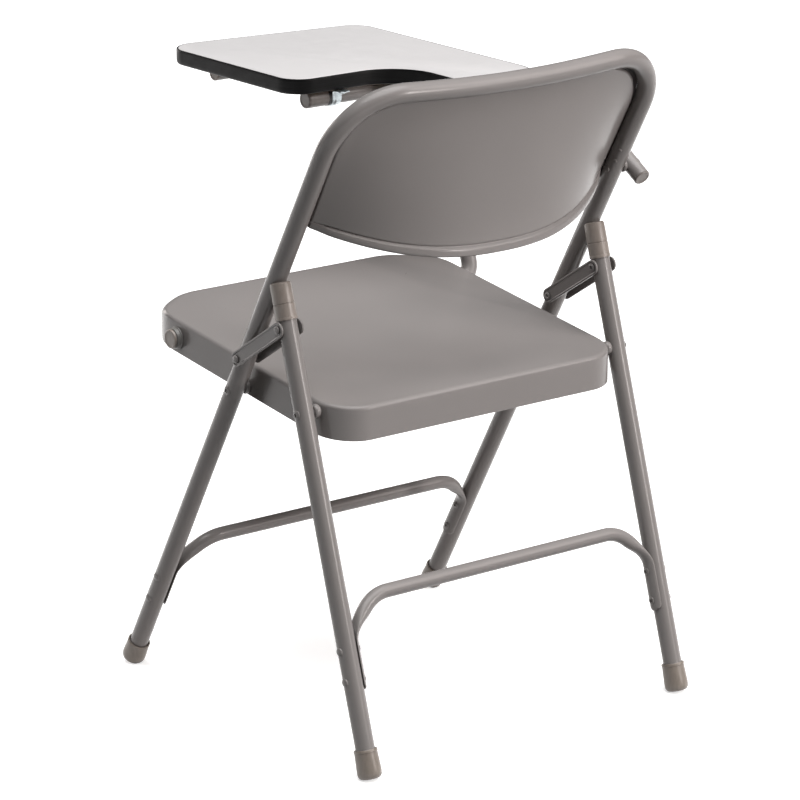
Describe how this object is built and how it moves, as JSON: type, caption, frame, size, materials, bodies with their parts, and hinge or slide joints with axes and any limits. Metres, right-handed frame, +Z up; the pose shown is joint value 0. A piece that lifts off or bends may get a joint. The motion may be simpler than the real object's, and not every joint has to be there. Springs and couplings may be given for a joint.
{
  "type": "tablet arm chair",
  "caption": "Steel folding chair with a curved back panel, riveted leg braces and side links, and a right-hand writing tablet on a folding arm.",
  "frame": {"origin": "middle of the floor under the whole object's box, tablet included", "axes": "+Z up, the sitter faces -Y, the tablet arm is on the sitter's right at -X"},
  "size_m": [0.5246, 0.7352, 0.7676],
  "materials": {
    "grey_paint": "satin powder coat",
    "link_steel": "satin powder coat, a little darker",
    "painted_rivet": "satin",
    "tan_plastic": "fine moulded grain",
    "zinc": "bright zinc plate",
    "nylon_bush": "matt",
    "board_core": "pressed particle board",
    "laminate": "fine textured laminate",
    "edge_band": "satin moulding"
  },
  "bodies": {
    "front_frame": {"front_frame_tube": "grey_paint", "back_panel": "grey_paint", "front_brace": "grey_paint", "front_brace_rivet_left_lower": "painted_rivet", "front_brace_rivet_left_upper": "painted_rivet", "front_brace_rivet_right_lower": "painted_rivet", "front_brace_rivet_right_upper": "painted_rivet", "front_foot_left": "tan_plastic", "front_foot_right": "tan_plastic", "seat_pivot_rivet_left": "painted_rivet", "seat_pivot_rivet_right": "painted_rivet", "seat_pivot_spacer_left": "painted_rivet", "seat_pivot_spacer_right": "painted_rivet", "link_front_rivet_left": "painted_rivet", "link_front_rivet_right": "painted_rivet", "arm_pivot_bolt": "painted_rivet", "arm_pivot_spacer": "painted_rivet"},
    "seat": {"seat_pan": "grey_paint", "axle_bush_left": "nylon_bush", "axle_bush_right": "nylon_bush"},
    "rear_legs": {"rear_leg_left": "grey_paint", "rear_leg_right": "grey_paint", "rear_leg_cap_left": "tan_plastic", "rear_leg_cap_right": "tan_plastic", "rear_foot_left": "tan_plastic", "rear_foot_right": "tan_plastic", "leg_pivot_bolt_left": "painted_rivet", "leg_pivot_bolt_right": "painted_rivet", "leg_pivot_spacer_left": "painted_rivet", "leg_pivot_spacer_right": "painted_rivet", "rear_brace": "grey_paint", "rear_brace_rivet_left_lower": "painted_rivet", "rear_brace_rivet_left_upper": "painted_rivet", "rear_brace_rivet_right_lower": "painted_rivet", "rear_brace_rivet_right_upper": "painted_rivet"},
    "link_left": {"link_outer_left": "link_steel", "link_inner_left": "link_steel", "link_rear_rivet_outer_left": "painted_rivet", "link_rear_rivet_inner_left": "painted_rivet"},
    "link_right": {"link_outer_right": "link_steel", "link_inner_right": "link_steel", "link_rear_rivet_outer_right": "painted_rivet", "link_rear_rivet_inner_right": "painted_rivet"},
    "arm_post": {"post_tube": "grey_paint", "post_axle_cap": "tan_plastic", "post_end_plug": "tan_plastic"},
    "tablet_arm": {"arm_tube": "grey_paint", "arm_rear_plug": "tan_plastic", "arm_front_plug": "tan_plastic", "arm_pivot_nut": "painted_rivet", "tablet_board": "board_core", "tablet_laminate": "laminate", "tablet_edge_band": "edge_band", "clip_rear": "zinc", "clip_screw_rear": "zinc", "clip_front_left": "zinc", "clip_screw_front_left": "zinc", "clip_front_right": "zinc", "clip_screw_front_right": "zinc"}
  },
  "joints": [
    {"name": "seat_fold", "type": "hinge", "parent": "front_frame", "child": "seat", "pos_m": [0.01965, 0.10217, 0.391], "axis": [1, 0, 0], "range_deg": [-98, 0]},
    {"name": "rear_leg_fold", "type": "hinge", "parent": "seat", "child": "rear_legs", "pos_m": [0.01965, 0.23517, 0.394], "axis": [1, 0, 0], "range_deg": [0, 48.6]},
    {"name": "link_left_fold", "type": "hinge", "parent": "front_frame", "child": "link_left", "pos_m": [0.01965, 0.12667, 0.434], "axis": [1, 0, 0], "range_deg": [-116.3, 0]},
    {"name": "link_right_fold", "type": "hinge", "parent": "front_frame", "child": "link_right", "pos_m": [0.01965, 0.12667, 0.434], "axis": [1, 0, 0], "range_deg": [-116.3, 0]},
    {"name": "post_fold", "type": "hinge", "parent": "seat", "child": "arm_post", "pos_m": [0.01965, -0.03883, 0.4165], "axis": [1, 0, 0], "range_deg": [0, 183.9]},
    {"name": "tablet_fold", "type": "hinge", "parent": "arm_post", "child": "tablet_arm", "pos_m": [0.01965, -0.12023, 0.6505], "axis": [1, 0, 0], "range_deg": [-54.2, 0]}
  ],
  "couplings": [
    {"joint": "rear_leg_fold", "follows": "seat_fold", "ratio": -0.4957},
    {"joint": "link_left_fold", "follows": "seat_fold", "ratio": 1.1864},
    {"joint": "link_right_fold", "follows": "seat_fold", "ratio": 1.1864},
    {"joint": "post_fold", "follows": "seat_fold", "ratio": -1.8762},
    {"joint": "tablet_fold", "follows": "seat_fold", "ratio": 0.553}
  ]
}
